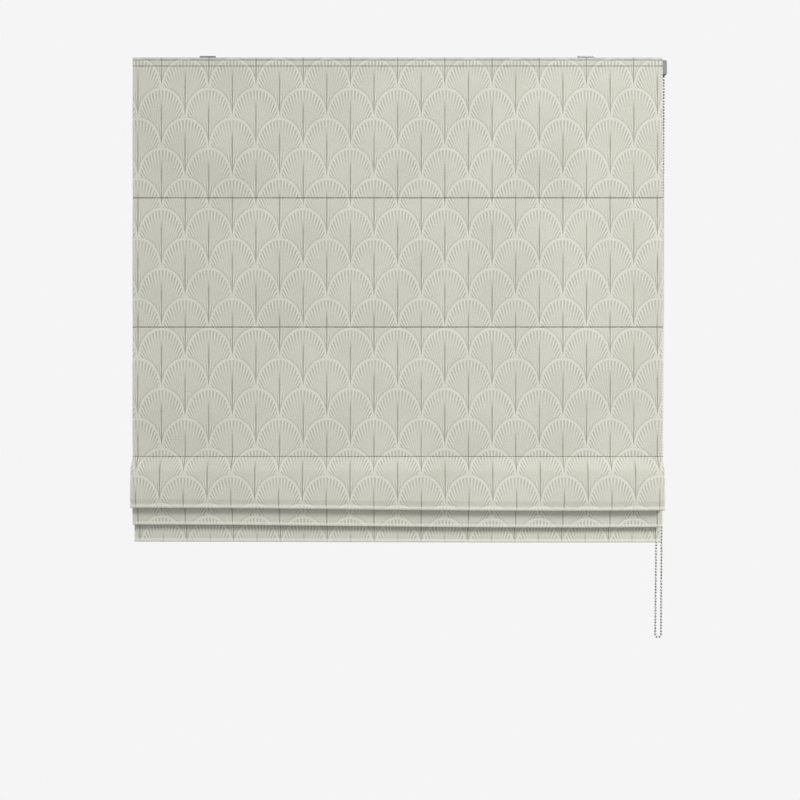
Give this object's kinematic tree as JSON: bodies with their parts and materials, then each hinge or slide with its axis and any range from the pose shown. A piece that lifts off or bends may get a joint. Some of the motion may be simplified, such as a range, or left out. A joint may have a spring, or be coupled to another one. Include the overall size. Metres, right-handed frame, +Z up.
{
  "type": "roman blind",
  "caption": "Partly raised roman blind: patterned cloth panel with stacked folds, rods, aluminium headrail, corded spools and a bead chain drive",
  "frame": {"origin": "centre of the two bracket holes, on the surface that the brackets are screwed to", "axes": "+Z up, the cloth's face towards -Y, +X to the right seen from the front"},
  "size_m": [1.0702, 0.0797, 1.1729],
  "materials": {
    "face_cloth": "woven, embossed",
    "lining_cloth": "plain weave",
    "tape_cloth": "narrow woven tape",
    "cord_fibre": "braided cord",
    "white_aluminium": "satin powder coat",
    "plain_aluminium": "extruded",
    "zinc_steel": "zinc plated",
    "chain_metal": "nickel plated",
    "white_plastic": "moulded, satin",
    "grey_plastic": "moulded",
    "clear_plastic": "pale moulded",
    "rod_fibre": "glass fibre rod"
  },
  "bodies": {
    "root": {"headrail": "white_aluminium", "end_cap": "white_plastic", "hook_tape": "tape_cloth", "loop_tape": "tape_cloth", "bracket_left": "zinc_steel", "bracket_right": "zinc_steel", "cam_rivets": "zinc_steel", "chain_housing": "grey_plastic", "housing_cover": "grey_plastic", "clutch_core": "grey_plastic", "cradle_left": "grey_plastic", "cradle_middle": "grey_plastic", "cradle_right": "grey_plastic", "lift_cord_left": "cord_fibre", "lift_cord_middle": "cord_fibre", "lift_cord_right": "cord_fibre", "face_cloth_upper": "face_cloth", "lining_upper": "lining_cloth", "bead_chain": "chain_metal"},
    "drive": {"chain_wheel": "grey_plastic", "drive_hub": "grey_plastic", "drive_shaft": "plain_aluminium", "clutch_spring": "zinc_steel", "cord_spool_left": "grey_plastic", "cord_spool_middle": "grey_plastic", "cord_spool_right": "grey_plastic", "wound_cord_left": "cord_fibre", "wound_cord_middle": "cord_fibre", "wound_cord_right": "cord_fibre"},
    "cam_left_body": {"cam_left": "zinc_steel"},
    "cam_right_body": {"cam_right": "zinc_steel"},
    "rod_1_body": {"rod_1": "rod_fibre", "rod_tape_1": "tape_cloth", "cord_rings_1": "clear_plastic"},
    "rod_2_body": {"rod_2": "rod_fibre", "rod_tape_2": "tape_cloth", "cord_rings_2": "clear_plastic"},
    "stack": {"face_cloth_folds": "face_cloth", "lining_folds": "lining_cloth", "rod_3": "rod_fibre", "rod_4": "rod_fibre", "rod_5": "rod_fibre", "rod_tape_3": "tape_cloth", "rod_tape_4": "tape_cloth", "rod_tape_5": "tape_cloth", "cord_rings_3": "clear_plastic", "cord_rings_4": "clear_plastic", "cord_rings_5": "clear_plastic", "cord_locks": "clear_plastic", "bottom_bar": "white_aluminium", "bar_caps": "white_plastic"}
  },
  "joints": [
    {"name": "lift", "type": "slide", "parent": "root", "child": "stack", "axis": [0, 0, 1], "range_m": [0, 0.69796], "deforming": ["face_cloth_upper", "lining_upper", "lift_cord_left", "lift_cord_middle", "lift_cord_right"]},
    {"name": "rod_1_lift", "type": "slide", "parent": "root", "child": "rod_1_body", "axis": [0, 0, 1], "range_m": [0, 0.22304]},
    {"name": "rod_2_lift", "type": "slide", "parent": "root", "child": "rod_2_body", "axis": [0, 0, 1], "range_m": [0, 0.46075]},
    {"name": "drive_spin", "type": "hinge", "parent": "root", "child": "drive", "pos_m": [0.5354, 0, -0.0234], "axis": [-1, 0, 0], "range_deg": [0, 3721.02], "deforming": ["bead_chain"]},
    {"name": "cam_left_turn", "type": "hinge", "parent": "root", "child": "cam_left_body", "pos_m": [-0.38, 0.0085, -0.005], "axis": [0, 0, 1], "range_deg": [-90, 0]},
    {"name": "cam_right_turn", "type": "hinge", "parent": "root", "child": "cam_right_body", "pos_m": [0.38, 0.0085, -0.005], "axis": [0, 0, 1], "range_deg": [-90, 0]}
  ],
  "couplings": [
    {"joint": "rod_1_lift", "follows": "lift", "ratio": 0.31884},
    {"joint": "rod_2_lift", "follows": "lift", "ratio": 0.65942},
    {"joint": "drive_spin", "follows": "lift", "rad_per_m": 93.023}
  ]
}
